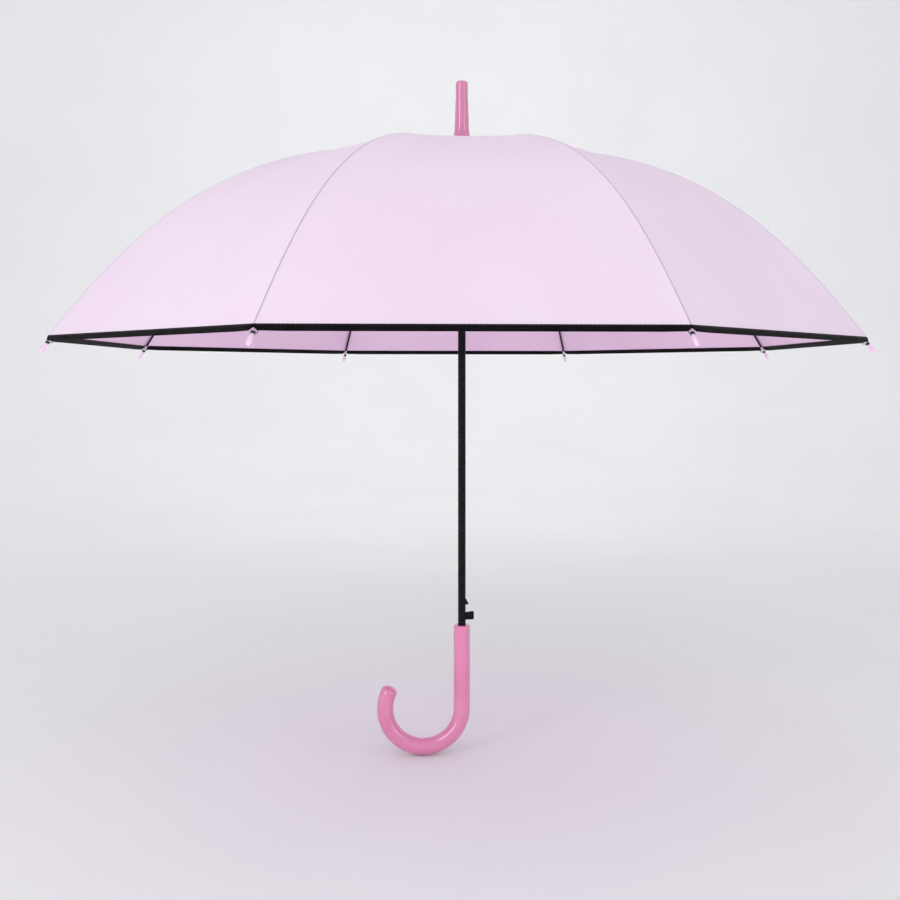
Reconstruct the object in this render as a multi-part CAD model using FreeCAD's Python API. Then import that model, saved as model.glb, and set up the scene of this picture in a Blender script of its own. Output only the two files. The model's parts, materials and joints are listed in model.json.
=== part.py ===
# A child's straight umbrella with a crook handle, shown open.
#
# Frame: millimetres, +Z up, the shaft's axis is Z, and z = 0 is the lowest point of the crook.
# The crook opens towards -X and the opening lever stands out towards +X.
# Eight ribs stand at equal angles; one gore faces -Y.  Each rib is a steel channel from the crown
# to the rib joint and a fibreglass rod from there to the rim.  A stretcher runs from each rib joint
# to the runner.  Crown pivots and runner pivots stand at one radius, and a stretcher is as long as
# its rib channel's chord, so the runner keeps to the shaft at every stage of folding.

import math
import os
import FreeCAD
import Part

V = FreeCAD.Vector
os.makedirs("parts", exist_ok=True)

# ---- driving dimensions -------------------------------------------------------------------------
TOTAL_H = 700.0          # crook to ferrule top
RIBS = 8
FIRST_RIB = 22.5         # azimuth of rib 1, degrees from +X
RIM_R = 400.0            # radius of the cover's corners
RIM_Z = 424.4            # height of the cover's corners
RIM_SLOPE = 53.1         # the cover's steepest fall along a rib, degrees
CURVE_END = 470.0        # arc length from the centre where the fall becomes even
COVER_T = 0.6            # cover thickness
COVER_HOLE_R = 6.0       # corner radius of the centre hole

SHAFT_R, SHAFT_WALL = 4.0, 0.6
SHAFT_LOW, SHAFT_TOP = 84.0, 672.0
GRIP_R = 8.6
GRIP_TOP = 134.4
CROOK_R = 39.8           # centreline radius of the crook
CROOK_TURN = 202.0       # how far the crook bends round, degrees
FERRULE_R = 6.35

PIVOT_R = 8.0            # radius of the crown and runner pivots
WIRE_R = 0.5             # ring wire through the rib and stretcher eyes
EYE_HOLE_R = 0.58
EYE_R = 1.5
EYE_T = 1.2
NOTCH_R = 11.0
SLOT_W = 1.5
NOTCH_UP, NOTCH_DOWN = 1.9, 3.2      # notched head above and below its pivots

RIB_DROP = 2.8           # rib centreline under the cover's outer face
RIB_JOINT_S = 221.0      # arc length from the centre to the rib joint
CHANNEL_W, CHANNEL_H, CHANNEL_T = 3.4, 2.6, 0.5
ROD_R = 1.1
PIN_R, PIN_HOLE_R = 0.7, 0.75
FORK_IN, FORK_OUT = 2.0, 2.5

FOLDED_JOINT_R = 20.0    # radius of the rib joints when folded

CATCH_LOW, CATCH_HIGH, CATCH_OUT = 155.6, 163.2, 2.8
LEVER_LOW, LEVER_HIGH, LEVER_OUT = 139.7, 148.4, 8.5
LEVER_T = 2.0
LEVER_PIN_Z = 122.0


# ---- the cover's line along a rib ---------------------------------------------------------------
def smoothstep(u):
    u = min(max(u, 0.0), 1.0)
    return u * u * (3.0 - 2.0 * u)


def slope_at(s):
    return math.radians(RIM_SLOPE) * smoothstep(s / CURVE_END)


def cover_line():
    """Points (arc length, radius, drop, slope) from the centre to the rim."""
    step = 1.0
    s = rho = drop = 0.0
    line = [(s, rho, drop, 0.0)]
    while rho < RIM_R:
        mid = slope_at(s + step / 2)
        part = min(step, (RIM_R - rho) / math.cos(mid))
        s += part
        rho += part * math.cos(mid)
        drop += part * math.sin(mid)
        line.append((s, rho, drop, slope_at(s)))
    return line


LINE = cover_line()
RIM_S = LINE[-1][0]
CROWN_Z = RIM_Z + LINE[-1][2]


def on_line(s, below=0.0):
    """Point (radius, z) at arc length s, a distance below the cover's outer face."""
    if s >= RIM_S:
        a = slope_at(s)
        rho = LINE[-1][1] + (s - RIM_S) * math.cos(a)
        drop = LINE[-1][2] + (s - RIM_S) * math.sin(a)
    else:
        k = min(int(s), len(LINE) - 2)
        (s0, r0, d0, a0), (s1, r1, d1, a1) = LINE[k], LINE[k + 1]
        u = (s - s0) / (s1 - s0)
        rho, drop, a = r0 + u * (r1 - r0), d0 + u * (d1 - d0), a0 + u * (a1 - a0)
    return rho - below * math.sin(a), CROWN_Z - drop - below * math.cos(a)


def flat(point, y=0.0):
    return V(point[0], y, point[1])


def curve(s_from, s_to, below, count=13):
    """Smooth edge in the XZ plane that follows the cover's line at a set depth."""
    pts = [flat(on_line(s_from + (s_to - s_from) * i / (count - 1), below)) for i in range(count)]
    line = Part.BSplineCurve()
    line.interpolate(pts)
    return line.toShape()


def arc_at_radius(radius, below):
    """Arc length at which the line at that depth reaches a radius."""
    low, high = 0.0, RIM_S
    for _ in range(50):
        mid = (low + high) / 2
        if on_line(mid, below)[0] < radius:
            low = mid
        else:
            high = mid
    return (low + high) / 2


CROWN_PIVOT = on_line(arc_at_radius(PIVOT_R, RIB_DROP), RIB_DROP)
RIB_JOINT = on_line(RIB_JOINT_S, RIB_DROP)
RUNNER_Z = 2 * RIB_JOINT[1] - CROWN_PIVOT[1]
LINK = math.hypot(RIB_JOINT[0] - PIVOT_R, RIB_JOINT[1] - CROWN_PIVOT[1])
OPEN_ANGLE = math.asin((CROWN_PIVOT[1] - RIB_JOINT[1]) / LINK)
FOLDED_ANGLE = math.acos((FOLDED_JOINT_R - PIVOT_R) / LINK)
RUNNER_TRAVEL = 2 * LINK * (math.sin(FOLDED_ANGLE) - math.sin(OPEN_ANGLE))
RUNNER_LOW = CATCH_LOW - 0.6 - 2.6 + RUNNER_TRAVEL


# ---- small building blocks ----------------------------------------------------------------------
def rod_z(radius, z0, z1):
    return Part.makeCylinder(radius, z1 - z0, V(0, 0, z0))


def rod_y(radius, x, z, y0, y1):
    return Part.makeCylinder(radius, y1 - y0, V(x, y0, z), V(0, 1, 0))


def box(x0, x1, y0, y1, z0, z1):
    return Part.makeBox(x1 - x0, y1 - y0, z1 - z0, V(x0, y0, z0))


def turned(points):
    """Solid of revolution about Z from a closed list of (radius, z) points."""
    ring = Part.Face(Part.makePolygon([V(r, 0, z) for r, z in points + points[:1]]))
    return ring.revolve(V(0, 0, 0), V(0, 0, 1), 360)


def slab(points, y0, y1):
    """Plate with a polygon outline in the XZ plane."""
    face = Part.Face(Part.makePolygon([V(x, y0, z) for x, z in points + points[:1]]))
    return face.extrude(V(0, y1 - y0, 0))


def band(s_from, s_to, top, bottom, y0, y1):
    """Bar that follows the cover's line between two depths, between two Y planes."""
    upper, lower = curve(s_from, s_to, top), curve(s_from, s_to, bottom)
    first = Part.makeLine(flat(on_line(s_from, top)), flat(on_line(s_from, bottom)))
    last = Part.makeLine(flat(on_line(s_to, top)), flat(on_line(s_to, bottom)))
    face = Part.Face(Part.Wire(Part.sortEdges([upper, last, lower, first])[0]))
    face.translate(V(0, y0, 0))
    return face.extrude(V(0, y1 - y0, 0))


def around(shape, azimuth):
    turned_copy = shape.copy()
    turned_copy.rotate(V(0, 0, 0), V(0, 0, 1), azimuth)
    return turned_copy


def save(name, shape):
    if shape.ShapeType == "Compound" and len(shape.Solids) == 1:
        shape = shape.Solids[0]
    shape.exportStep("parts/" + name + ".step")


def azimuth(i):
    return FIRST_RIB + i * 360.0 / RIBS


def notched_head(z, up, down, bore):
    """Disc with a slot for every eye and a groove for the ring wire."""
    head = turned([(bore, z - down), (NOTCH_R, z - down), (NOTCH_R, z + up), (bore, z + up)])
    groove = turned([(PIVOT_R - WIRE_R - 0.02, z - WIRE_R - 0.02), (NOTCH_R + 1, z - WIRE_R - 0.02),
                     (NOTCH_R + 1, z + WIRE_R + 0.02), (PIVOT_R - WIRE_R - 0.02, z + WIRE_R + 0.02)])
    head = head.cut(groove)
    inner = PIVOT_R - EYE_R - 0.35
    slots = [around(box(inner, NOTCH_R + 1, -SLOT_W / 2, SLOT_W / 2, z - down - 1, z + up + 1),
                    azimuth(i)) for i in range(RIBS)]
    return head.cut(Part.makeCompound(slots))


# ---- shaft, handle and ferrule ------------------------------------------------------------------
def shaft_tube():
    tube = turned([(SHAFT_R - SHAFT_WALL, SHAFT_LOW), (SHAFT_R, SHAFT_LOW),
                   (SHAFT_R, SHAFT_TOP), (SHAFT_R - SHAFT_WALL, SHAFT_TOP)])
    half = LEVER_T / 2 + 0.2
    tube = tube.cut(box(0, SHAFT_R + 1, -half, half, LEVER_LOW - 0.9, LEVER_HIGH + 0.9))
    tube = tube.cut(box(0, SHAFT_R + 1, -half, half, CATCH_LOW - 0.7, CATCH_HIGH + 0.9))
    tube = tube.cut(rod_y(PIN_R + 0.02, 0, LEVER_PIN_Z, -5, 5))
    return tube.cut(rod_y(PIN_R + 0.02, 0, CROWN_PIVOT[1] - 9.0, -5, 5))


def handle():
    """Straight grip that bends into a crook with a round end."""
    low = CROOK_R + GRIP_R
    grip = rod_z(GRIP_R, low, GRIP_TOP)
    grip = grip.makeFillet(1.8, [e for e in grip.Edges if e.BoundBox.ZMin > GRIP_TOP - 0.1])
    disc = Part.Face(Part.Wire(Part.makeCircle(GRIP_R, V(0, 0, low), V(0, 0, 1))))
    bend = disc.revolve(V(-CROOK_R, 0, low), V(0, 1, 0), CROOK_TURN)
    turn = math.radians(CROOK_TURN)
    end = V(-CROOK_R + CROOK_R * math.cos(turn), 0, low - CROOK_R * math.sin(turn))
    solid = grip.fuse([bend, Part.makeSphere(GRIP_R, end)])
    return solid.cut(rod_z(SHAFT_R + 0.02, SHAFT_LOW - 1.0, GRIP_TOP + 1)).removeSplitter()


def ferrule():
    """Hollow cap with a straight nose, a long taper and a flared foot on the cover."""
    foot = CROWN_Z + 1.0
    outline = [(SHAFT_R + 0.02, foot), (12.0, foot), (12.0, foot + 1.6), (10.9, foot + 6.0),
               (9.4, foot + 14.0), (8.2, foot + 19.5), (7.6, foot + 23.5), (FERRULE_R, 682.0),
               (FERRULE_R, TOTAL_H - 2.4), (FERRULE_R - 0.7, TOTAL_H - 0.7),
               (FERRULE_R - 2.4, TOTAL_H), (0, TOTAL_H), (0, SHAFT_TOP + 0.5),
               (SHAFT_R + 0.02, SHAFT_TOP + 0.5)]
    return turned(outline)


def cover_washer():
    return turned([(SHAFT_R + 0.02, CROWN_Z + 0.05), (14.0, CROWN_Z + 0.05),
                   (14.0, CROWN_Z + 0.55), (12.6, CROWN_Z + 0.98), (SHAFT_R + 0.02, CROWN_Z + 0.98)])


# ---- crown --------------------------------------------------------------------------------------
def top_notch():
    z = CROWN_PIVOT[1]
    head = notched_head(z, NOTCH_UP, NOTCH_DOWN, SHAFT_R + 0.02)
    collar = turned([(SHAFT_R + 0.02, z - 14), (5.8, z - 14), (5.8, z - NOTCH_DOWN),
                     (SHAFT_R + 0.02, z - NOTCH_DOWN)])
    return head.fuse(collar).cut(rod_y(PIN_R + 0.02, 0, z - 9.0, -7, 7)).removeSplitter()


def ring_wire(z):
    return Part.makeTorus(PIVOT_R, WIRE_R, V(0, 0, z))


# ---- ribs and stretchers, built at azimuth 0 ----------------------------------------------------
def rib_channel():
    """Steel channel, open underneath, with a flat eye at the crown and two cheeks at the joint."""
    start = arc_at_radius(PIVOT_R, RIB_DROP)
    w, h, t = CHANNEL_W / 2, CHANNEL_H / 2, CHANNEL_T
    body = band(start + 5.2, RIB_JOINT_S, RIB_DROP - h, RIB_DROP + h, -w, w)
    hollow = band(start + 9.0, RIB_JOINT_S + 1, RIB_DROP - h + t, RIB_DROP + h + 1, -w + t, w - t)
    body = body.cut(hollow)
    neck = band(start, start + 6.0, RIB_DROP - 1.0, RIB_DROP + 1.0, -EYE_T / 2, EYE_T / 2)
    eye = rod_y(EYE_R, CROWN_PIVOT[0], CROWN_PIVOT[1], -EYE_T / 2, EYE_T / 2)
    cheeks = rod_y(1.7, RIB_JOINT[0], RIB_JOINT[1], -w, w)
    solid = body.fuse([neck, eye, cheeks])
    # The rod's end turns between the cheeks, so the web stops short of the joint.
    gap = rod_y(3.6, RIB_JOINT[0], RIB_JOINT[1], -w + t, w - t)
    holes = [rod_y(EYE_HOLE_R, CROWN_PIVOT[0], CROWN_PIVOT[1], -2, 2),
             rod_y(PIN_R + 0.02, RIB_JOINT[0], RIB_JOINT[1], -3, 3)]
    return solid.cut(gap).cut(Part.makeCompound(holes)).removeSplitter()


def rib_rod():
    """Fibreglass rod with a turned metal-size eye at its inner end."""
    path = Part.Wire([curve(RIB_JOINT_S, RIM_S + 6.0, RIB_DROP, 15)])
    start = path.Edges[0].valueAt(path.Edges[0].FirstParameter)
    along = path.Edges[0].tangentAt(path.Edges[0].FirstParameter)
    rod = path.makePipe(Part.Face(Part.Wire(Part.makeCircle(ROD_R, start, along))))
    half = CHANNEL_W / 2 - CHANNEL_T - 0.1
    eye = rod_y(EYE_R, RIB_JOINT[0], RIB_JOINT[1], -half, half)
    hole = rod_y(PIN_HOLE_R, RIB_JOINT[0], RIB_JOINT[1], -3, 3)
    return rod.fuse(eye).cut(hole)


def rib_tip():
    """Plastic cap on the rod's end, swelling to a round nose beyond the hem."""
    outline = [(ROD_R + 0.02, -7.0), (1.35, -7.0), (1.35, 1.6), (1.75, 4.5), (1.9, 7.0),
               (1.75, 9.0), (1.25, 10.4), (0.6, 11.0), (0, 11.1), (0, 6.3), (ROD_R + 0.02, 6.3)]
    tip = turned(outline)
    tip.rotate(V(0, 0, 0), V(0, 1, 0), 90 + RIM_SLOPE)
    at = on_line(RIM_S, RIB_DROP)
    tip.translate(V(at[0], 0, at[1]))
    return tip


def joint_rivet():
    x, z = RIB_JOINT
    heads = [rod_y(1.3, x, z, FORK_OUT + 0.15, FORK_OUT + 0.65),
             rod_y(1.3, x, z, -FORK_OUT - 0.65, -FORK_OUT - 0.15)]
    return rod_y(PIN_R, x, z, -FORK_OUT - 0.4, FORK_OUT + 0.4).fuse(heads)


def stretcher():
    """Steel channel with a fork over the rib joint and a flat eye in the runner."""
    w, h = 1.5, 1.2
    parts = [box(14.0, LINK - 6.0, -w, w, -h, h),
             box(10.0, 14.5, -FORK_OUT, FORK_OUT, -h, h),
             box(LINK - 8.0, LINK, -EYE_T / 2, EYE_T / 2, -1.0, 1.0),
             rod_y(EYE_R, LINK, 0, -EYE_T / 2, EYE_T / 2)]
    for y0, y1 in ((FORK_IN, FORK_OUT), (-FORK_OUT, -FORK_IN)):
        parts += [box(0, 11.0, y0, y1, -h, h), rod_y(1.6, 0, 0, y0, y1)]
    bar = parts[0].fuse(parts[1:])
    bar = bar.cut(box(12.5, LINK - 10.0, -w + 0.5, w - 0.5, -h - 1, h - 0.5))
    bar = bar.cut(rod_y(PIN_HOLE_R, 0, 0, -4, 4)).cut(rod_y(EYE_HOLE_R, LINK, 0, -4, 4))
    bar = bar.removeSplitter()
    # Local +X runs from the rib joint to the runner pivot, inwards and down.
    bar.rotate(V(0, 0, 0), V(0, 1, 0), 180 - math.degrees(OPEN_ANGLE))
    bar.translate(flat(RIB_JOINT))
    return bar


# ---- runner, spring and lever -------------------------------------------------------------------
def runner():
    z = RUNNER_Z
    bore = SHAFT_R + 0.08
    head = notched_head(z, NOTCH_UP, NOTCH_DOWN, bore)
    sleeve = turned([(bore, RUNNER_LOW), (8.4, RUNNER_LOW), (8.4, RUNNER_LOW + 1.6),
                     (6.3, RUNNER_LOW + 3.2), (6.3, z - 9.0), (5.8, z - 7.5), (5.8, z - NOTCH_DOWN),
                     (bore, z - NOTCH_DOWN)])
    low = CATCH_LOW - 0.6 + RUNNER_TRAVEL
    high = CATCH_HIGH + 0.8 + RUNNER_TRAVEL
    window = box(0, 12, -LEVER_T / 2 - 0.4, LEVER_T / 2 + 0.4, low, high)
    return head.fuse(sleeve).cut(window).removeSplitter()


SPRING_TOP = CROWN_PIVOT[1] - 14.1
CUP_LOW = RUNNER_Z + NOTCH_UP + 0.4
CUP_TOP = CUP_LOW + 5.0
SPRING_R, SPRING_WIRE, SPRING_TURNS = 5.4, 0.45, 8


def spring_cup():
    """Stepped ring that holds the spring's lower end on top of the runner."""
    bore = SHAFT_R + 0.1
    return turned([(bore, CUP_LOW), (6.5, CUP_LOW), (6.5, CUP_LOW + 1.2), (6.4, CUP_TOP),
                   (6.0, CUP_TOP), (6.0, CUP_LOW + 1.2), (bore, CUP_LOW + 1.2)])


def opening_spring():
    """Coil of tilted half turns, each one wire section swept half way round."""
    low, high = CUP_LOW + 1.2 + SPRING_WIRE + 0.05, SPRING_TOP - SPRING_WIRE - 0.05
    rise = (high - low) / SPRING_TURNS / 2
    halves = []
    for k in range(2 * SPRING_TURNS):
        side = 1 if k % 2 == 0 else -1
        z = low + rise * k
        section = Part.Face(Part.Wire(Part.makeCircle(SPRING_WIRE, V(side * SPRING_R, 0, z), V(0, 1, 0))))
        halves.append(section.revolve(V(0, 0, z + rise / 2), V(side * rise, 0, 2 * SPRING_R), 180))
    return halves[0].fuse(halves[1:])


def trigger_lever():
    """Flat lever on a pin inside the shaft: thumb tab below, ramped catch above."""
    out, tab, hook = SHAFT_R, SHAFT_R + LEVER_OUT, SHAFT_R + CATCH_OUT
    outline = [(1.9, LEVER_PIN_Z + 1.0), (2.7, LEVER_PIN_Z + 3.0), (2.7, LEVER_LOW), (out, LEVER_LOW),
               (tab - 0.8, LEVER_LOW + 0.3), (tab, LEVER_LOW + 1.3), (tab, LEVER_HIGH - 0.7),
               (tab - 0.8, LEVER_HIGH), (out, LEVER_HIGH - 1.0), (2.7, LEVER_HIGH - 1.0),
               (2.7, CATCH_LOW), (hook, CATCH_LOW), (hook, CATCH_LOW + 1.2), (out, CATCH_HIGH - 1.2),
               (2.7, CATCH_HIGH), (1.5, CATCH_HIGH + 1.0), (1.5, LEVER_PIN_Z + 6.0),
               (-1.2, LEVER_PIN_Z + 1.2), (-1.6, LEVER_PIN_Z), (0, LEVER_PIN_Z - 1.7),
               (1.7, LEVER_PIN_Z - 0.6)]
    plate = slab(outline, -LEVER_T / 2, LEVER_T / 2)
    return plate.cut(rod_y(PIN_HOLE_R, 0, LEVER_PIN_Z, -3, 3))


# ---- cover, hem and closing tab -----------------------------------------------------------------
def rim_point(rho, z, az):
    a = math.radians(az)
    return V(rho * math.cos(a), rho * math.sin(a), z)


def cover():
    """Stretched fabric: every gore runs straight across from rib to rib."""
    start = arc_at_radius(COVER_HOLE_R, 0.0)
    outer = curve(start, RIM_S, 0.0, 17)
    inner = curve(start, RIM_S, COVER_T, 17)
    faces = []
    for i in range(RIBS):
        a, b = azimuth(i), azimuth(i + 1)
        faces += [Part.makeRuledSurface(around(outer, a), around(outer, b)),
                  Part.makeRuledSurface(around(inner, a), around(inner, b))]
        for s in (start, RIM_S):
            top, low = on_line(s, 0.0), on_line(s, COVER_T)
            ring = [rim_point(*top, a), rim_point(*top, b), rim_point(*low, b), rim_point(*low, a)]
            faces.append(Part.Face(Part.makePolygon(ring + ring[:1])))
    shell = Part.Shell(faces)
    shell.sewShape()
    solid = Part.Solid(shell)
    if solid.Volume < 0:
        solid.reverse()
    return solid


def hem_binding():
    """Folded tape over the cover's edge, mitred at every rib."""
    gap, t, width = 0.03, 0.35, 5.5
    slope = math.radians(RIM_SLOPE)

    def at(along, below):
        rho, z = on_line(RIM_S, below)
        return rho + along * math.cos(slope), z - along * math.sin(slope)

    section = [at(-width, -gap - t), at(t + gap, -gap - t), at(t + gap, COVER_T + gap + t),
               at(-width, COVER_T + gap + t), at(-width, COVER_T + gap), at(gap, COVER_T + gap),
               at(gap, -gap), at(-width, -gap)]
    faces = []
    for i in range(RIBS):
        a, b = azimuth(i), azimuth(i + 1)
        for p, q in zip(section, section[1:] + section[:1]):
            ring = [rim_point(*p, a), rim_point(*p, b), rim_point(*q, b), rim_point(*q, a)]
            faces.append(Part.Face(Part.makePolygon(ring + ring[:1])))
    shell = Part.Shell(faces)
    shell.sewShape()
    solid = Part.Solid(shell)
    if solid.Volume < 0:
        solid.reverse()
    return solid


TAB_W, TAB_T, TAB_FROM, TAB_TO = 13.0, 0.8, 34.0, 7.5   # width, thickness, distances up the rim
TAB_GAP = 0.25


def on_back_gore(along_rim, up, out):
    """Point on the back gore: across from its middle, up from the rim, out from the fabric."""
    apothem = math.cos(math.pi / RIBS)
    rho, z = on_line(RIM_S - up, -out)
    middle_rho, middle_z = on_line(RIM_S - up, 0.0)
    slope = math.atan2(math.sin(math.radians(RIM_SLOPE)), math.cos(math.radians(RIM_SLOPE)) * apothem)
    y = middle_rho * apothem + out * math.sin(slope)
    return V(along_rim, y, middle_z + out * math.cos(slope))


TAB_X = -(RIM_R * math.sin(math.pi / RIBS) - 22.0)


def closing_tab():
    """Small fabric tab sewn to the back gore beside a rib."""
    x0, x1 = TAB_X - TAB_W / 2, TAB_X + TAB_W / 2
    corners = [on_back_gore(x, up, TAB_GAP) for x, up in
               ((x0, TAB_FROM), (x1, TAB_FROM), (x1, TAB_TO), (x0, TAB_TO))]
    face = Part.Face(Part.makePolygon(corners + corners[:1]))
    lift = on_back_gore(TAB_X, 20.0, TAB_GAP + TAB_T) - on_back_gore(TAB_X, 20.0, TAB_GAP)
    return face.extrude(lift)


def tab_stud():
    foot = on_back_gore(TAB_X, 14.0, TAB_GAP + TAB_T + 0.1)
    axis = on_back_gore(TAB_X, 14.0, 10.0) - on_back_gore(TAB_X, 14.0, 0.0)
    return Part.makeCylinder(4.0, 1.4, foot, axis).fuse(Part.makeCylinder(2.4, 2.4, foot, axis))


# ---- write the pieces ---------------------------------------------------------------------------
save("shaft_tube", shaft_tube())
save("handle", handle())
save("ferrule", ferrule())
save("cover_washer", cover_washer())
save("cover", cover())
save("hem_binding", hem_binding())
save("closing_tab", closing_tab())
save("tab_stud", tab_stud())
save("top_notch", top_notch())
save("top_notch_wire", ring_wire(CROWN_PIVOT[1]))
save("notch_pin", rod_y(PIN_R, 0, CROWN_PIVOT[1] - 9.0, -5.7, 5.7))
save("runner", runner())
save("runner_wire", ring_wire(RUNNER_Z))
save("spring_cup", spring_cup())
save("opening_spring", opening_spring())
save("trigger_lever", trigger_lever())
save("lever_pin", rod_y(PIN_R, 0, LEVER_PIN_Z, -3.9, 3.9))

for name, shape in (("rib_channel", rib_channel()), ("rib_rod", rib_rod()), ("rib_tip", rib_tip()),
                    ("joint_rivet", joint_rivet()), ("stretcher", stretcher())):
    for number in range(RIBS):
        save("%s_%d" % (name, number + 1), around(shape, azimuth(number)))
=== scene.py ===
import json
import math
import bpy
from mathutils import Matrix, Vector


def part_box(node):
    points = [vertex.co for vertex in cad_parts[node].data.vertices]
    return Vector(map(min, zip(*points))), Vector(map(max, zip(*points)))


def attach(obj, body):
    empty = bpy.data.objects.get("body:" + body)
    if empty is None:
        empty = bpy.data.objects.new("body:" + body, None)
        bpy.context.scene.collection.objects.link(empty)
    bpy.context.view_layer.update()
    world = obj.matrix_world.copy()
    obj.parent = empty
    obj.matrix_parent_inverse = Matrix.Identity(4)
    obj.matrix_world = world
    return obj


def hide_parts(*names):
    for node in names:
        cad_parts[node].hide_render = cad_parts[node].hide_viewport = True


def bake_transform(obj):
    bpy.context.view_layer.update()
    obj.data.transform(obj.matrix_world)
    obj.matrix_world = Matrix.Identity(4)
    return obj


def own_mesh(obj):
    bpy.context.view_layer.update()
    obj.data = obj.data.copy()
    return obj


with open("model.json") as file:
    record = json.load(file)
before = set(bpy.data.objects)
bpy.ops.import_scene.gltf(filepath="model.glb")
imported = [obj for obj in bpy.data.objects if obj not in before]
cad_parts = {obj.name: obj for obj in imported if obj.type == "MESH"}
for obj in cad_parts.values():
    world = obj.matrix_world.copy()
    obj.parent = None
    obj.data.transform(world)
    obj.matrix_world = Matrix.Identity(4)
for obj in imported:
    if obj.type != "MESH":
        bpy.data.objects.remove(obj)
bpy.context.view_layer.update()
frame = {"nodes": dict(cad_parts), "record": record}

# ---- sizes, in metres -----------------------------------------------------------------------
RIBS = 8
STEP = math.radians(360 / RIBS)
FIRST_RIB = math.radians(22.5)
RIM_R = 0.400
RIM_SLOPE = math.radians(53.1)
CURVE_END = 0.470          # arc length from the centre where the fall becomes even
LINE_STEP = 0.001
JOINT_S = 0.221            # arc length from the centre to the rib joints
RIB_DROP = 0.0028          # rib centreline under the cover's outer face
HOLE_R = 0.0062
CROWN_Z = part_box("cover")[1][2]

FABRIC_T = 0.00035
SEAM_COLUMNS = (0.0, 0.0006, 0.0013, 0.004)     # distances from the seam of a sector's inner columns
FAR_COLUMNS = 9
COLUMNS = 2 * (len(SEAM_COLUMNS) + FAR_COLUMNS) - 1
ROW_PITCH = 0.003
SAG = 0.0022               # of the fabric half way between two ribs
RIDGE, RIDGE_HALF = 0.00035, 0.0013
PUCKER, PUCKER_WAVE, PUCKER_REACH = 0.00022, 0.0021, 0.012
CORNER_BACK, CORNER_HALF, CORNER_LONG = 0.0036, 0.0028, 0.0055
TUCK, TUCK_DROP, TUCK_GAP, TUCK_ROWS = 0.014, 0.0006, 0.0003, 6
# the upper cover's pieces: name, arc length where it ends, share of its width it keeps when folded
UPPER_STAGES = [("crown", 0.036, 0.68), ("shoulder", 0.100, 0.43), ("upper", JOINT_S, 0.26)]

# folded tape round the edge: distance past the edge, distance under the outer face
HEM_PROFILE = [(-0.0055, -0.0004), (-0.0054, -0.00052), (-0.0002, -0.00052), (0.0003, -0.00016),
               (0.00045, 0.0003), (0.0003, 0.0008), (-0.0002, 0.00112), (-0.0054, 0.00112),
               (-0.0055, 0.001), (-0.0055, 0.0004)]
STITCH_PITCH, STITCH, STITCH_START, STITCH_BACK = 0.0032, 0.0024, 0.002, 0.0042

WRAP_HALF, WRAP_HIGH, WRAP_LONG, WRAP_STEPS = 0.0051, 0.0026, 0.0130, 12
WRAP_DROP = 0.0006

GRIP_R = 0.0086
GRIP_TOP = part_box("handle")[1][2]
GRIP_SIDES = 64
CROOK_R = 0.0398           # centreline radius of the crook
CROOK_TURN = math.radians(202)
SPRING_R, SPRING_WIRE_R, SPRING_TURNS, SPRING_SIDES = 0.0054, 0.00045, 8, 24


# ---- the cover's line -----------------------------------------------------------------------
def azimuth(i):
    return FIRST_RIB + i * STEP


def smoothstep(u):
    u = min(max(u, 0.0), 1.0)
    return u * u * (3 - 2 * u)


def slope_at(s):
    return RIM_SLOPE * smoothstep(s / CURVE_END)


def cover_line():
    """Arc length, radius and drop of points from the centre to the rim."""
    s, rho, drop = 0.0, 0.0, 0.0
    line = [(s, rho, drop)]
    while rho < RIM_R - 1e-9:
        mid = slope_at(s + LINE_STEP / 2)
        part = min(LINE_STEP, (RIM_R - rho) / math.cos(mid))
        s, rho, drop = s + part, rho + part * math.cos(mid), drop + part * math.sin(mid)
        line.append((s, rho, drop))
    return line


LINE = cover_line()
RIM_S = LINE[-1][0]


def on_line(s, below=0.0):
    """Radius, height and slope at arc length s, a distance under the cover's outer face."""
    a = slope_at(s)
    if s >= RIM_S:
        rho = LINE[-1][1] + (s - RIM_S) * math.cos(a)
        drop = LINE[-1][2] + (s - RIM_S) * math.sin(a)
    else:
        k = min(int(s / LINE_STEP), len(LINE) - 2)
        u = (s - LINE[k][0]) / (LINE[k + 1][0] - LINE[k][0])
        rho = LINE[k][1] + u * (LINE[k + 1][1] - LINE[k][1])
        drop = LINE[k][2] + u * (LINE[k + 1][2] - LINE[k][2])
    return rho - below * math.sin(a), CROWN_Z - drop - below * math.cos(a), a


def arc_at_radius(radius):
    low, high = 0.0, RIM_S
    for _ in range(50):
        mid = (low + high) / 2
        low, high = (mid, high) if on_line(mid)[0] < radius else (low, mid)
    return (low + high) / 2


def at_rib(i, rho, z):
    return Vector((rho * math.cos(azimuth(i)), rho * math.sin(azimuth(i)), z))


def beside_rib(i):
    """Level direction across a rib."""
    return Vector((-math.sin(azimuth(i)), math.cos(azimuth(i)), 0))


def gore_lean(slope):
    """A gore's own slope halfway between two ribs."""
    return math.atan2(math.sin(slope), math.cos(slope) * math.cos(STEP / 2))


# ---- mesh helpers ---------------------------------------------------------------------------
def new_object(name, verts, faces, mats, face_mat=None, uvs=None):
    mesh = bpy.data.meshes.new(name)
    mesh.from_pydata([tuple(v) for v in verts], [], faces)
    for m in mats:
        mesh.materials.append(m)
    if face_mat:
        mesh.polygons.foreach_set("material_index", face_mat)
    mesh.polygons.foreach_set("use_smooth", [True] * len(mesh.polygons))
    if uvs:
        layer = mesh.uv_layers.new(name="UVMap")
        for loop in mesh.loops:
            layer.data[loop.index].uv = uvs[loop.vertex_index]
    mesh.update()
    obj = bpy.data.objects.new(name, mesh)
    bpy.context.scene.collection.objects.link(obj)
    return obj


def sharp(obj, angle):
    """Keeps edges that turn by more than the angle crisp under smooth shading."""
    obj.data.set_sharp_from_angle(angle=math.radians(angle))


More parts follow.
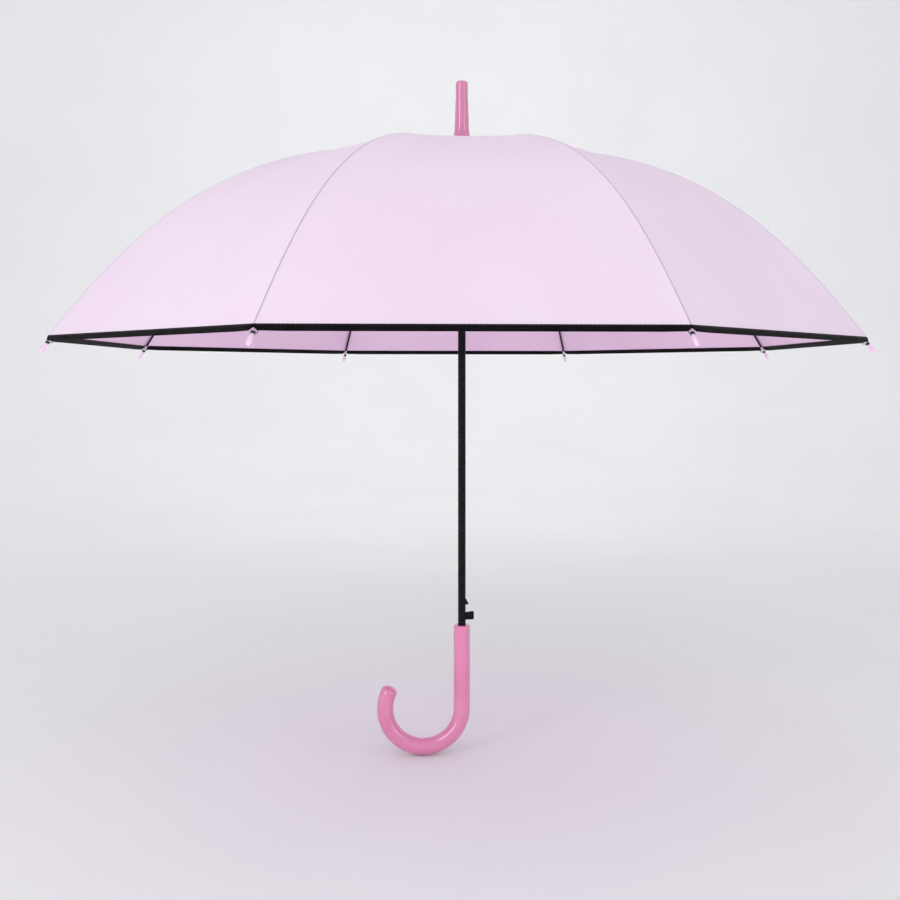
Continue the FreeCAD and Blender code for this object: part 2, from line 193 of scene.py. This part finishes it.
def ring_faces(rings, sides):
    """Quads between rings of points that are each closed on themselves."""
    pairs = [(j, (j + 1) % sides) for j in range(sides)]
    return [(low + j, low + q, low + sides + q, low + sides + j)
            for low in range(0, (rings - 1) * sides, sides) for j, q in pairs]


def end_faces(rings, sides):
    return [tuple(reversed(range(sides))), tuple(range((rings - 1) * sides, rings * sides))]


def shell_faces(rows, width):
    """Outer, inner and edge faces of a closed sheet over two grids of rows + 1 by width points."""
    n = (rows + 1) * width
    cells = [r * width + c for r in range(rows) for c in range(width - 1)]
    rim = [(r * width, (r + 1) * width) for r in range(rows)]
    rim += [((r + 2) * width - 1, (r + 1) * width - 1) for r in range(rows)]
    rim += [(c + 1, c) for c in range(width - 1)]
    rim += [(rows * width + c, rows * width + c + 1) for c in range(width - 1)]
    return ([(a, a + width, a + width + 1, a + 1) for a in cells],
            [(n + a, n + a + 1, n + a + width + 1, n + a + width) for a in cells],
            [(a, n + a, n + b, b) for a, b in rim])


def tube(points, radius, sides):
    """Verts and faces of a capped round tube."""
    last = len(points) - 1
    verts, normal = [], None
    for k, p in enumerate(points):
        t = (points[min(k + 1, last)] - points[max(k - 1, 0)]).normalized()
        if normal is None:
            level = Vector((0, 0, 1)).cross(t)
            normal = level if level.length > 1e-6 else Vector((1, 0, 0)).cross(t)
        normal = (normal - t * normal.dot(t)).normalized()
        other = t.cross(normal)
        for j in range(sides):
            a = 2 * math.pi * j / sides
            verts.append(p + radius * (math.cos(a) * normal + math.sin(a) * other))
    return verts, ring_faces(last + 1, sides) + end_faces(last + 1, sides)


def turned(outline, sides=64, centre=Vector((0, 0, 0)), turn=None):
    """Verts and faces of a solid of revolution about Z from (radius, z) points, poles at radius 0."""
    verts, rows, faces = [], [], []
    for r, z in outline:
        if r < 1e-7:
            rows.append([len(verts)] * sides)
            verts.append(Vector((0, 0, z)))
        else:
            rows.append(list(range(len(verts), len(verts) + sides)))
            angles = [2 * math.pi * j / sides for j in range(sides)]
            verts += [Vector((r * math.cos(a), r * math.sin(a), z)) for a in angles]
    for a, b in zip(rows, rows[1:]):
        for j in range(sides):
            q = (j + 1) % sides
            ring = [a[j], a[q], b[q], b[j]]
            face = [v for k, v in enumerate(ring) if v != ring[k - 1]]
            if len(face) > 2:
                faces.append(tuple(face))
    if turn is not None:
        verts = [turn @ v for v in verts]
    return [v + centre for v in verts], faces


def fillet(a, b, c, r, count):
    """Points of a round corner at b between a and c, in 2D."""
    a, b, c = Vector(a), Vector(b), Vector(c)
    u, v = (a - b).normalized(), (c - b).normalized()
    half = math.acos(max(-1, min(1, u.dot(v)))) / 2
    d = r / math.tan(half)
    p, q = b + u * d, b + v * d
    mid = b + (u + v).normalized() * (r / math.sin(half))
    return [tuple(mid + (p - mid).lerp(q - mid, k / count).normalized() * r) for k in range(count + 1)]


# ---- materials ------------------------------------------------------------------------------
def srgb(r, g, b):
    return tuple(((c / 255 + 0.055) / 1.055) ** 2.4 if c > 10 else c / 255 / 12.92 for c in (r, g, b))


def material(name, colour, rough, metal=0.0, **extra):
    m = bpy.data.materials.new(name)
    m.use_nodes = True
    shader = m.node_tree.nodes["Principled BSDF"]
    shader.inputs["Base Color"].default_value = (*colour, 1)
    shader.inputs["Roughness"].default_value = rough
    shader.inputs["Metallic"].default_value = metal
    for key, value in extra.items():
        shader.inputs[key.replace("_", " ")].default_value = value
    return m


def tools(m):
    return m.node_tree.nodes, m.node_tree.links, m.node_tree.nodes["Principled BSDF"]


def mottle(m, base, other, scale):
    """Base colour that drifts between two tones."""
    nodes, links, shader = tools(m)
    co = nodes.new("ShaderNodeTexCoord")
    noise = nodes.new("ShaderNodeTexNoise")
    noise.inputs["Scale"].default_value = scale
    noise.inputs["Detail"].default_value = 5
    ramp = nodes.new("ShaderNodeValToRGB")
    for stop, position, colour in zip(ramp.color_ramp.elements, (0.35, 0.65), (base, other)):
        stop.position, stop.color = position, (*colour, 1)
    links.new(co.outputs["Object"], noise.inputs["Vector"])
    links.new(noise.outputs["Fac"], ramp.inputs["Fac"])
    links.new(ramp.outputs["Color"], shader.inputs["Base Color"])
    return co


def rough_noise(m, co, scale, low, high):
    nodes, links, shader = tools(m)
    noise = nodes.new("ShaderNodeTexNoise")
    noise.inputs["Scale"].default_value = scale
    noise.inputs["Detail"].default_value = 6
    span = nodes.new("ShaderNodeMapRange")
    span.inputs["To Min"].default_value, span.inputs["To Max"].default_value = low, high
    links.new(co.outputs["Object"], noise.inputs["Vector"])
    links.new(noise.outputs["Fac"], span.inputs["Value"])
    links.new(span.outputs["Result"], shader.inputs["Roughness"])


def weave(m, pitch, strength, distance):
    """Bump of a plain weave, from the sheet's own flat coordinates in metres."""
    nodes, links, shader = tools(m)

    def maths(operation, *sources):
        node = nodes.new("ShaderNodeMath")
        node.operation = operation
        for k, source in enumerate(sources):
            if isinstance(source, float):
                node.inputs[k].default_value = source
            else:
                links.new(source, node.inputs[k])
        return node.outputs[0]

    co = nodes.new("ShaderNodeTexCoord")
    split = nodes.new("ShaderNodeSeparateXYZ")
    links.new(co.outputs["UV"], split.inputs["Vector"])
    waves = [maths("SINE", maths("MULTIPLY", split.outputs[axis], 2 * math.pi / pitch))
             for axis in ("X", "Y")]
    bump = nodes.new("ShaderNodeBump")
    bump.inputs["Strength"].default_value = strength
    bump.inputs["Distance"].default_value = distance
    links.new(maths("MULTIPLY", *waves), bump.inputs["Height"])
    links.new(bump.outputs["Normal"], shader.inputs["Normal"])


def fabric(name, base, other, rough, sheen):
    m = material(name, base, rough, Sheen_Weight=sheen, Sheen_Roughness=0.4, Specular_IOR_Level=0.35)
    mottle(m, base, other, 9.0)
    weave(m, 0.0007, 0.25, 0.0001)
    return m


def hard_surface(name, colour, rough, tones, tone_scale, rough_scale, rough_span, metal=0.0, **extra):
    """Moulded, drawn or lacquered: mottled colour and uneven roughness."""
    m = material(name, colour, rough, metal, **extra)
    co = mottle(m, *tones, tone_scale)
    rough_noise(m, co, rough_scale, *rough_span)
    return m


COVER_OUT = fabric("cover_outside", srgb(243, 223, 242), srgb(240, 219, 239), 0.6, 0.08)
COVER_IN = fabric("cover_inside", srgb(239, 209, 235), srgb(235, 203, 231), 0.65, 0.05)
SEAM = fabric("seam_fold", srgb(196, 172, 206), srgb(188, 163, 200), 0.6, 0.05)

TAPE = material("hem_tape", (0.004, 0.004, 0.005), 0.6, Sheen_Weight=0.01, Sheen_Roughness=0.4,
                Specular_IOR_Level=0.07)
mottle(TAPE, (0.002, 0.002, 0.0025), (0.005, 0.0045, 0.0055), 60.0)
weave(TAPE, 0.0009, 0.5, 0.0002)

THREAD = material("black_thread", (0.010, 0.010, 0.011), 0.45, Sheen_Weight=0.1)
mottle(THREAD, (0.008, 0.008, 0.009), (0.020, 0.019, 0.021), 900.0)

PINK = hard_surface("pink_gloss", srgb(217, 124, 168), 0.35,
                    (srgb(220, 127, 171), srgb(212, 114, 160)), 28.0, 160.0, (0.26, 0.36),
                    Coat_Weight=1.0, Coat_Roughness=0.04, Coat_IOR=1.85)
BLACK = hard_surface("black_lacquer", (0.004, 0.004, 0.004), 0.26,
                     ((0.002, 0.002, 0.002), (0.005, 0.005, 0.006)), 220.0, 500.0, (0.2, 0.34),
                     Coat_Weight=0.06, Coat_Roughness=0.08, Specular_IOR_Level=0.12)
DARK = hard_surface("dark_moulding", (0.006, 0.006, 0.007), 0.45,
                    ((0.005, 0.005, 0.006), (0.011, 0.011, 0.012)), 300.0, 700.0, (0.38, 0.55),
                    Specular_IOR_Level=0.2)
WIRE = hard_surface("drawn_wire", (0.55, 0.55, 0.57), 0.3,
                    ((0.5, 0.5, 0.52), (0.62, 0.62, 0.63)), 500.0, 900.0, (0.22, 0.4), metal=1.0)
ROD = hard_surface("black_fibreglass", (0.005, 0.005, 0.005), 0.3,
                   ((0.004, 0.004, 0.004), (0.010, 0.009, 0.010)), 400.0, 400.0, (0.25, 0.4),
                   Specular_IOR_Level=0.2)
TIP = hard_surface("tip_plastic", srgb(243, 208, 234), 0.22,
                   (srgb(246, 214, 238), srgb(238, 196, 227)), 120.0, 300.0, (0.18, 0.28),
                   Coat_Weight=0.5, Coat_Roughness=0.08, Subsurface_Weight=0.25, Subsurface_Scale=0.002)

SLOTS = {"black_steel": BLACK, "pink_gloss": PINK, "dark_plastic": DARK, "cover_fabric": COVER_OUT,
         "black_tape": TAPE, "steel_wire": WIRE, "black_rod": ROD, "tip_plastic": TIP}
for part in frame["record"]["subparts"]:
    for entry in frame["nodes"][part["node"]].material_slots:
        entry.link = "OBJECT"
        entry.material = SLOTS[part["material_slot"]]


# ---- cover: a sector round every rib, cut at rings ---------------------------------------------
def gore_point(i, side, across, s):
    """Point of the cover at arc length s, a share (0 to 0.5) of the way to the next rib; the gore's
    outward direction there; the distance between the two ribs."""
    rho, z, slope = on_line(s)
    here, there = azimuth(i), azimuth(i + side)
    middle = (here + there) / 2
    a = Vector((rho * math.cos(here), rho * math.sin(here), z))
    b = Vector((rho * math.cos(there), rho * math.sin(there), z))
    lean = gore_lean(slope)
    out = Vector((math.sin(lean) * math.cos(middle), math.sin(lean) * math.sin(middle), math.cos(lean)))
    return a.lerp(b, across), out, (b - a).length


def columns(chord):
    """Places across a sector: (side, share of the way to the next rib, distance from the seam)."""
    half = chord / 2
    near = [min(d, half * (0.12 * k)) for k, d in enumerate(SEAM_COLUMNS)]
    far = [near[-1] + (half - near[-1]) * k / FAR_COLUMNS for k in range(1, FAR_COLUMNS + 1)]
    right = near + far
    return [(-1, d / chord, d) for d in reversed(right[1:])] + [(1, d / chord, d) for d in right]


def corner_lift(s, d):
    """How far the edge draws back at a corner, where the tip's socket shows."""
    near_edge = smoothstep((s - RIM_S + CORNER_LONG) / CORNER_LONG)
    return CORNER_BACK * math.exp(-(d / CORNER_HALF) ** 2) * near_edge


def sector(name, i, s_from, s_to, tuck):
    """One piece of the cover. A tuck runs on past its outer edge, under the next piece."""
    outer, inner, uvs = [], [], []
    rows = max(8, round((s_to - s_from) / ROW_PITCH))
    places = [(s_from + (s_to - s_from) * r / rows, 0.0) for r in range(rows + 1)]
    if tuck:
        places += [(s_to + TUCK_GAP + (tuck - TUCK_GAP) * r / (TUCK_ROWS - 1), TUCK_DROP)
                   for r in range(TUCK_ROWS)]
    for s, sunk in places:
        chord = gore_point(i, 1, 0, s)[2]
        deep = SAG * math.sin(math.pi * min(s / RIM_S, 1.0)) ** 1.2
        for side, share, d in columns(chord):
            p, out, _ = gore_point(i, side, share, s - corner_lift(s, d))
            ridge = RIDGE * max(0.0, 1 - d / RIDGE_HALF)
            pucker = (PUCKER * math.sin(s / PUCKER_WAVE + 2.0 * side) * math.exp(-d / PUCKER_REACH)
                      * min(d / 0.003, 1))
            sag = deep * 4 * share * (1 - share)
            q = p + out * (ridge + pucker - sag - sunk)
            outer.append(q)
            inner.append(q - out * FABRIC_T)
            uvs.append((side * d, s))
    seam = (COLUMNS // 2 - 1, COLUMNS // 2)
    top, under, edge = shell_faces(len(places) - 1, COLUMNS)
    mats = [2 if k % (COLUMNS - 1) in seam else 0 for k in range(len(top))]
    mats += [1] * len(under) + [0] * len(edge)
    obj = new_object(name, outer + inner, top + under + edge, [COVER_OUT, COVER_IN, SEAM], mats, uvs + uvs)
    sharp(obj, 40)
    return obj


def soften(obj):
    """Gives the piece a mesh of its own."""
    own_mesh(obj)


def cover_piece(name, i, body, s_from, s_to, tuck=0.0):
    obj = sector(name, i, s_from, s_to, tuck)
    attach(obj, body)
    soften(obj)
    return obj


def hem(i):
    """Folded tape along a sector's edge, with its stitches."""
    chord = gore_point(i, 1, 0, RIM_S)[2]
    verts, uvs = [], []
    for along, below in HEM_PROFILE:
        for side, share, d in columns(chord):
            p, out, _ = gore_point(i, side, share, RIM_S + along - corner_lift(RIM_S + along, d))
            verts.append(p - out * below)
            uvs.append((side * d, along + below * 2))
    w, n = COLUMNS, len(HEM_PROFILE)
    faces = []
    for k in range(n):
        m = (k + 1) % n
        faces += [(k * w + c, k * w + c + 1, m * w + c + 1, m * w + c) for c in range(w - 1)]
    faces += [tuple(k * w for k in range(n)), tuple(k * w + w - 1 for k in reversed(range(n)))]
    mats = [0] * len(faces)
    for side in (-1, 1):
        for k in range(int((chord / 2 - STITCH_START) / STITCH_PITCH)):
            points, joins = stitch(i, side, chord, STITCH_START + k * STITCH_PITCH)
            faces += [tuple(len(verts) + q for q in f) for f in joins]
            verts += points
            uvs += [(0, 0)] * len(points)
            mats += [1] * len(joins)
    obj = new_object("hem_tape_%d" % (i + 1), verts, faces, [TAPE, THREAD], mats, uvs)
    sharp(obj, 50)
    return obj


def stitch(i, side, chord, place):
    """Slim octahedron that lies on the tape, a distance from the rib."""
    ends = [gore_point(i, side, (place + d) / chord, RIM_S - STITCH_BACK)[0] for d in (0, STITCH)]
    out = gore_point(i, side, 0, RIM_S)[1]
    across = (ends[1] - ends[0]).normalized().cross(out)
    centre = (ends[0] + ends[1]) / 2 + out * 0.00062
    points = [end + out * 0.00045 for end in ends]
    points += [centre + across * 0.0003, centre - across * 0.0003,
               centre + out * 0.00022, centre - out * 0.00022]
    joins = []
    for a, b in ((2, 4), (4, 3), (3, 5), (5, 2)):
        joins += [(0, a, b), (1, b, a)]
    return points, joins


for i in range(RIBS):
    n = i + 1
    tape = hem(i)
    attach(tape, "rod_%d" % n)
    soften(tape)
    start = arc_at_radius(HOLE_R)
    for stage, end, keep in UPPER_STAGES:
        piece = cover_piece("cover_%s_%d" % (stage, n), i, "rib_%d" % n, start, end,
                            TUCK if end == JOINT_S else 0.0)
        start = end
    cover_piece("cover_lower_%d" % n, i, "rod_%d" % n, JOINT_S, RIM_S)
    if i == 0:
        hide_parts("cover")
        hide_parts("hem_binding")


# ---- threads that hold the corners on the tips -------------------------------------------------
def corner_thread(i):
    """Four turns of thread round a tip's socket, and a stitch from them over the cover's corner."""
    rho, z, a = on_line(RIM_S + 0.0002, RIB_DROP)
    centre = at_rib(i, rho, z)
    axis = (at_rib(i, rho + math.cos(a), z - math.sin(a)) - centre).normalized()
    side = beside_rib(i)
    up = side.cross(axis)
    radius, sides, pitch, start = 0.0016, 15, 0.00055, -0.0011
    turns = []
    for k in range(4 * sides):
        w = 2 * math.pi * k / sides
        turns.append(centre + axis * (start + pitch * k / sides)
                     + side * radius * math.cos(w) + up * radius * math.sin(w))
    verts, faces = tube(turns, 0.00028, 8)
    over = [(0.0013, -0.0010, 0.0), (0.0028, -0.0016, 0.0010), (0.0035, -0.0036, 0.0012),
            (0.0030, -0.0046, 0.0)]
    more_verts, more = tube([centre + up * u + axis * v + side * w for u, v, w in over], 0.0003, 8)
    faces += [tuple(q + len(verts) for q in f) for f in more]
    obj = new_object("corner_thread_%d" % (i + 1), verts + more_verts, faces, [THREAD])
    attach(obj, "rod_%d" % (i + 1))


for i in range(RIBS):
    corner_thread(i)


# ---- fabric wraps that keep the rib joints off the cover ---------------------------------------
def wrap_piece(name, i, body, s_from, fit):
    """Patch bent over a rib joint, slimmer at its ends."""
    section = [(WRAP_HALF * math.sin(math.radians(a)), WRAP_HIGH * math.cos(math.radians(a)) - WRAP_DROP)
               for a in range(-110, 111, 11)]
    side = beside_rib(i)
    outer, inner, uvs = [], [], []
    for k in range(WRAP_STEPS + 1):
        s = s_from + WRAP_LONG * k / WRAP_STEPS
        full = fit * (0.45 + 0.55 * math.sin(math.pi * (k + 0.5) / (WRAP_STEPS + 1)) ** 0.6)
        rho, z, slope = on_line(s, RIB_DROP)
        centre = at_rib(i, rho, z)
        up = at_rib(i, rho + math.sin(slope), z + math.cos(slope)) - centre
        outer += [centre + (side * t + up * h) * full for t, h in section]
        inner += [centre + (side * t + up * h) * (full * 0.93) for t, h in section]
        uvs += [(t, s) for t, _ in section]
    top, below, edge = shell_faces(WRAP_STEPS, len(section))
    obj = new_object("%s_%d" % (name, i + 1), outer + inner, top + below + edge, [COVER_OUT], uvs=uvs + uvs)
    sharp(obj, 50)
    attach(obj, "%s_%d" % (body, i + 1))


for i in range(RIBS):
    wrap_piece("joint_wrap", i, "rib", JOINT_S - 0.0105, 1.0)
    wrap_piece("joint_cuff", i, "rod", JOINT_S - 0.0025, 0.93)


# ---- handle ------------------------------------------------------------------------------------
def crook():
    low = CROOK_R + GRIP_R          # height of the crook's centre
    bevel = [(-0.006, 0.0042), (-0.0006, 0.0042), (0.0, 0.0047), (0.0, GRIP_R * 0.85),
             (-0.0004, GRIP_R * 0.93), (-0.0012, GRIP_R * 0.985), (-0.0022, GRIP_R)]
    stations = [(GRIP_TOP + dz, r) for dz, r in bevel]
    stations += [(GRIP_TOP - dz, GRIP_R) for dz in (0.004, 0.012, 0.03, 0.05)]
    stations += [(low + dz, GRIP_R) for dz in (0.02, 0.008, 0.0)]
    path = [Vector((0, 0, z)) for z, _ in stations]
    radii = [r for _, r in stations]
    for k in range(1, 49):
        a = CROOK_TURN * k / 48
        path.append(Vector((-CROOK_R + CROOK_R * math.cos(a), 0, low - CROOK_R * math.sin(a))))
        radii.append(GRIP_R)
    end = path[-1]
    tangent = Vector((-math.sin(CROOK_TURN), 0, -math.cos(CROOK_TURN)))
    for k in range(17):             # rounded end
        a = math.pi / 2 * k / 16
        path.append(end + tangent * GRIP_R * (0.24 + 0.76 * math.sin(a) ** 0.88))
        radii.append(max(GRIP_R * math.cos(a) ** 0.88, 0.0002))
    verts = []
    v = Vector((0, 1, 0))
    for p, radius in zip(path, radii):
        bend = 0.0 if p.x == 0 else min(CROOK_TURN, math.atan2(low - p.z, p.x + CROOK_R) % (2 * math.pi))
        u = Vector((math.cos(bend), 0, -math.sin(bend)))
        for j in range(GRIP_SIDES):
            a = 2 * math.pi * j / GRIP_SIDES
            verts.append(p + radius * (math.cos(a) * u + math.sin(a) * v))
    faces = [tuple(reversed(f)) for f in ring_faces(len(path), GRIP_SIDES)] + end_faces(len(path), GRIP_SIDES)
    obj = new_object("crook_handle", verts, faces, [PINK])
    sharp(obj, 60)
    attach(obj, "frame")
    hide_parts("handle")


crook()


# ---- ferrule -----------------------------------------------------------------------------------
def ferrule():
    foot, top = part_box("ferrule")[0][2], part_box("ferrule")[1][2]
    nose_r, nose_low = 0.00635, 0.690
    flare = [(0.0042, 0.0), (0.0118, 0.0), (0.0120, 0.0004), (0.0120, 0.0014), (0.0116, 0.003),
             (0.0109, 0.006), (0.0101, 0.0100), (0.0094, 0.014), (0.0087, 0.0168), (0.0082, 0.0195),
             (0.0078, 0.022), (0.0076, 0.0245), (0.0072, 0.036), (0.00675, 0.050)]
    outline = [(r, foot + z) for r, z in flare] + [(0.00638, 0.682), (nose_r, nose_low)]
    outline += fillet((nose_r, nose_low), (nose_r, top), (0, top), 0.0028, 8)
    outline += [(0.0015, top), (0, top)]
    verts, faces = turned(outline)
    obj = new_object("ferrule_cap", verts, faces, [PINK])
    sharp(obj, 55)
    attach(obj, "frame")
    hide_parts("ferrule")


ferrule()


# ---- opening spring ------------------------------------------------------------------------------
def spring():
    low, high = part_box("opening_spring")
    z0, z1 = low[2] + SPRING_WIRE_R, high[2] - SPRING_WIRE_R
    count = SPRING_TURNS * SPRING_SIDES
    points = []
    for k in range(count + 1):
        a = 2 * math.pi * k / SPRING_SIDES
        points.append(Vector((SPRING_R * math.cos(a), SPRING_R * math.sin(a), z0 + (z1 - z0) * k / count)))
    verts, faces = tube(points, SPRING_WIRE_R, 10)
    obj = new_object("pull_spring", verts, faces, [WIRE])
    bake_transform(obj)
    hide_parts("opening_spring")


spring()


# ---- closing tab and its press stud ---------------------------------------------------------------
TAB_X = -(RIM_R * math.sin(STEP / 2) - 0.022)
TAB_MIDDLE = 0.02          # up from the rim


def back_point(x, up, out):
    """Point on the rear gore, a distance up from the rim and out from the fabric."""
    rho, z, slope = on_line(RIM_S - up)
    lean = gore_lean(slope)
    return Vector((x, rho * math.cos(STEP / 2) + out * math.sin(lean), z + out * math.cos(lean)))


def closing_tab():
    outline = []
    corners = ((0.0035, 0.0305, 0), (-0.0035, 0.0305, 90), (-0.0045, 0.0095, 180), (0.0045, 0.0095, 270))
    for cx, cy, a0 in corners:
        for k in range(7):
            a = math.radians(a0 + 15 * k)
            outline.append((cx + 0.002 * math.cos(a), cy + 0.002 * math.sin(a)))
    # share of the outline's size, and height: an edge, then a line sewn round inside it
    rings = [(1.0, 0.0000), (1.03, 0.0003), (1.0, 0.0006), (0.86, 0.00062), (0.80, 0.00048), (0.74, 0.0006)]
    verts = []
    for scale, height in rings:
        verts += [back_point(TAB_X + x * scale, TAB_MIDDLE + (y - TAB_MIDDLE) * scale, height + 0.0003)
                  for x, y in outline]
    faces = ring_faces(len(rings), len(outline)) + end_faces(len(rings), len(outline))
    obj = new_object("strap_tab", verts, faces, [COVER_OUT])
    sharp(obj, 50)
    return obj


def press_stud():
    foot, over = back_point(TAB_X, 0.014, 0.0010), back_point(TAB_X, 0.014, 0.0020)
    turn = Vector((0, 0, 1)).rotation_difference((over - foot).normalized()).to_matrix()
    outline = [(0.0, 0.0), (0.0038, 0.0), (0.004, 0.0003), (0.0038, 0.0011), (0.0031, 0.0014),
               (0.0027, 0.0012), (0.0022, 0.0013), (0.0019, 0.0019), (0.001, 0.0023), (0, 0.0024)]
    verts, faces = turned(outline, 40, foot, turn)
    obj = new_object("press_stud", verts, faces, [PINK])
    sharp(obj, 60)
    return obj


tab, stud = closing_tab(), press_stud()
for obj, node, slot in ((tab, "closing_tab", "cover_fabric"), (stud, "tab_stud", "pink_gloss")):
    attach(obj, "rod_3")
    soften(obj)
    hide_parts(node)

# ---- room, lights and camera ----------------------------------------------------------------------
FLOOR_R, COVE_R, WALL_TOP = 2.2, 1.3, 3.6
FLOOR_DROP = 0.0006
ROOM = material("studio_paper", srgb(242, 242, 243), 0.9, Specular_IOR_Level=0.1)
mottle(ROOM, srgb(243, 243, 244), srgb(240, 240, 242), 2.0)
outline = [(0.0, 0.0), (0.5, 0.0), (1.2, 0.0), (FLOOR_R, 0.0)]
outline += [(FLOOR_R + COVE_R * math.sin(math.radians(a)), COVE_R - COVE_R * math.cos(math.radians(a)))
            for a in range(5, 91, 5)]
outline += [(FLOOR_R + COVE_R, WALL_TOP)]
verts, faces = turned(outline, 128, Vector((0, 0, -FLOOR_DROP)))
sweep = new_object("studio_sweep", verts, [tuple(reversed(f)) for f in faces], [ROOM])


def area_light(name, place, aim, size, power, tall=None, colour=(1, 1, 1), seen_in_gloss=False):
    """Soft light that the camera doesn't see. Sizes in metres, power in watts."""
    lamp = bpy.data.lights.new(name, "AREA")
    lamp.energy, lamp.size, lamp.color = power, size, colour
    if tall:
        lamp.shape, lamp.size_y = "RECTANGLE", tall
    obj = bpy.data.objects.new(name, lamp)
    obj.location = place
    obj.rotation_euler = (Vector(aim) - Vector(place)).to_track_quat("-Z", "Y").to_euler()
    obj.visible_camera = False
    obj.visible_glossy = seen_in_gloss
    bpy.context.scene.collection.objects.link(obj)


OBJECT_MIDDLE = (0, 0, 0.45)
COOL = (0.94, 1.0, 0.95)
area_light("softbox_left", (-1.15, -1.35, 0.75), OBJECT_MIDDLE, 0.42, 6.1, 1.5, seen_in_gloss=True)
area_light("softbox_right", (1.25, -1.2, 0.75), OBJECT_MIDDLE, 0.26, 2.5, 1.4, seen_in_gloss=True)
area_light("uplight", (0.0, -0.45, 0.02), (0, -0.3, 1.0), 0.9, 2.1, 0.3)
area_light("low_left", (-2.0, -0.7, 0.6), (0, 0, 0.0), 1.4, 2.7, 0.5, COOL)
area_light("low_right", (2.0, -0.7, 0.6), (0, 0, 0.0), 1.4, 2.4, 0.5, COOL)
area_light("key", (-0.2, -2.2, 1.5), OBJECT_MIDDLE, 1.2, 5.6)
area_light("backdrop", (0, 1.6, 1.8), (0, 3.4, 0.8), 1.4, 9.0)
world = bpy.data.worlds.new("studio")
bpy.context.scene.world = world
world.use_nodes = True
sky = world.node_tree.nodes["Background"].inputs
sky["Color"].default_value = (0.985, 0.99, 1.0, 1)
sky["Strength"].default_value = 0.81

CAMERA_TURN = math.radians(3.04)
cam = bpy.data.cameras.new("camera")
cam.sensor_width, cam.lens = 36.0, 42.06
cam.shift_x, cam.shift_y = -0.046, -0.0812
cam_obj = bpy.data.objects.new("camera", cam)
cam_obj.location = Matrix.Rotation(-CAMERA_TURN, 3, "Z") @ Vector((0.0308, -1.0948, 0.3923))
cam_obj.rotation_euler = (math.radians(90), 0, -CAMERA_TURN)
bpy.context.scene.collection.objects.link(cam_obj)
bpy.context.scene.camera = cam_obj
bpy.context.scene.view_settings.view_transform = "Standard"
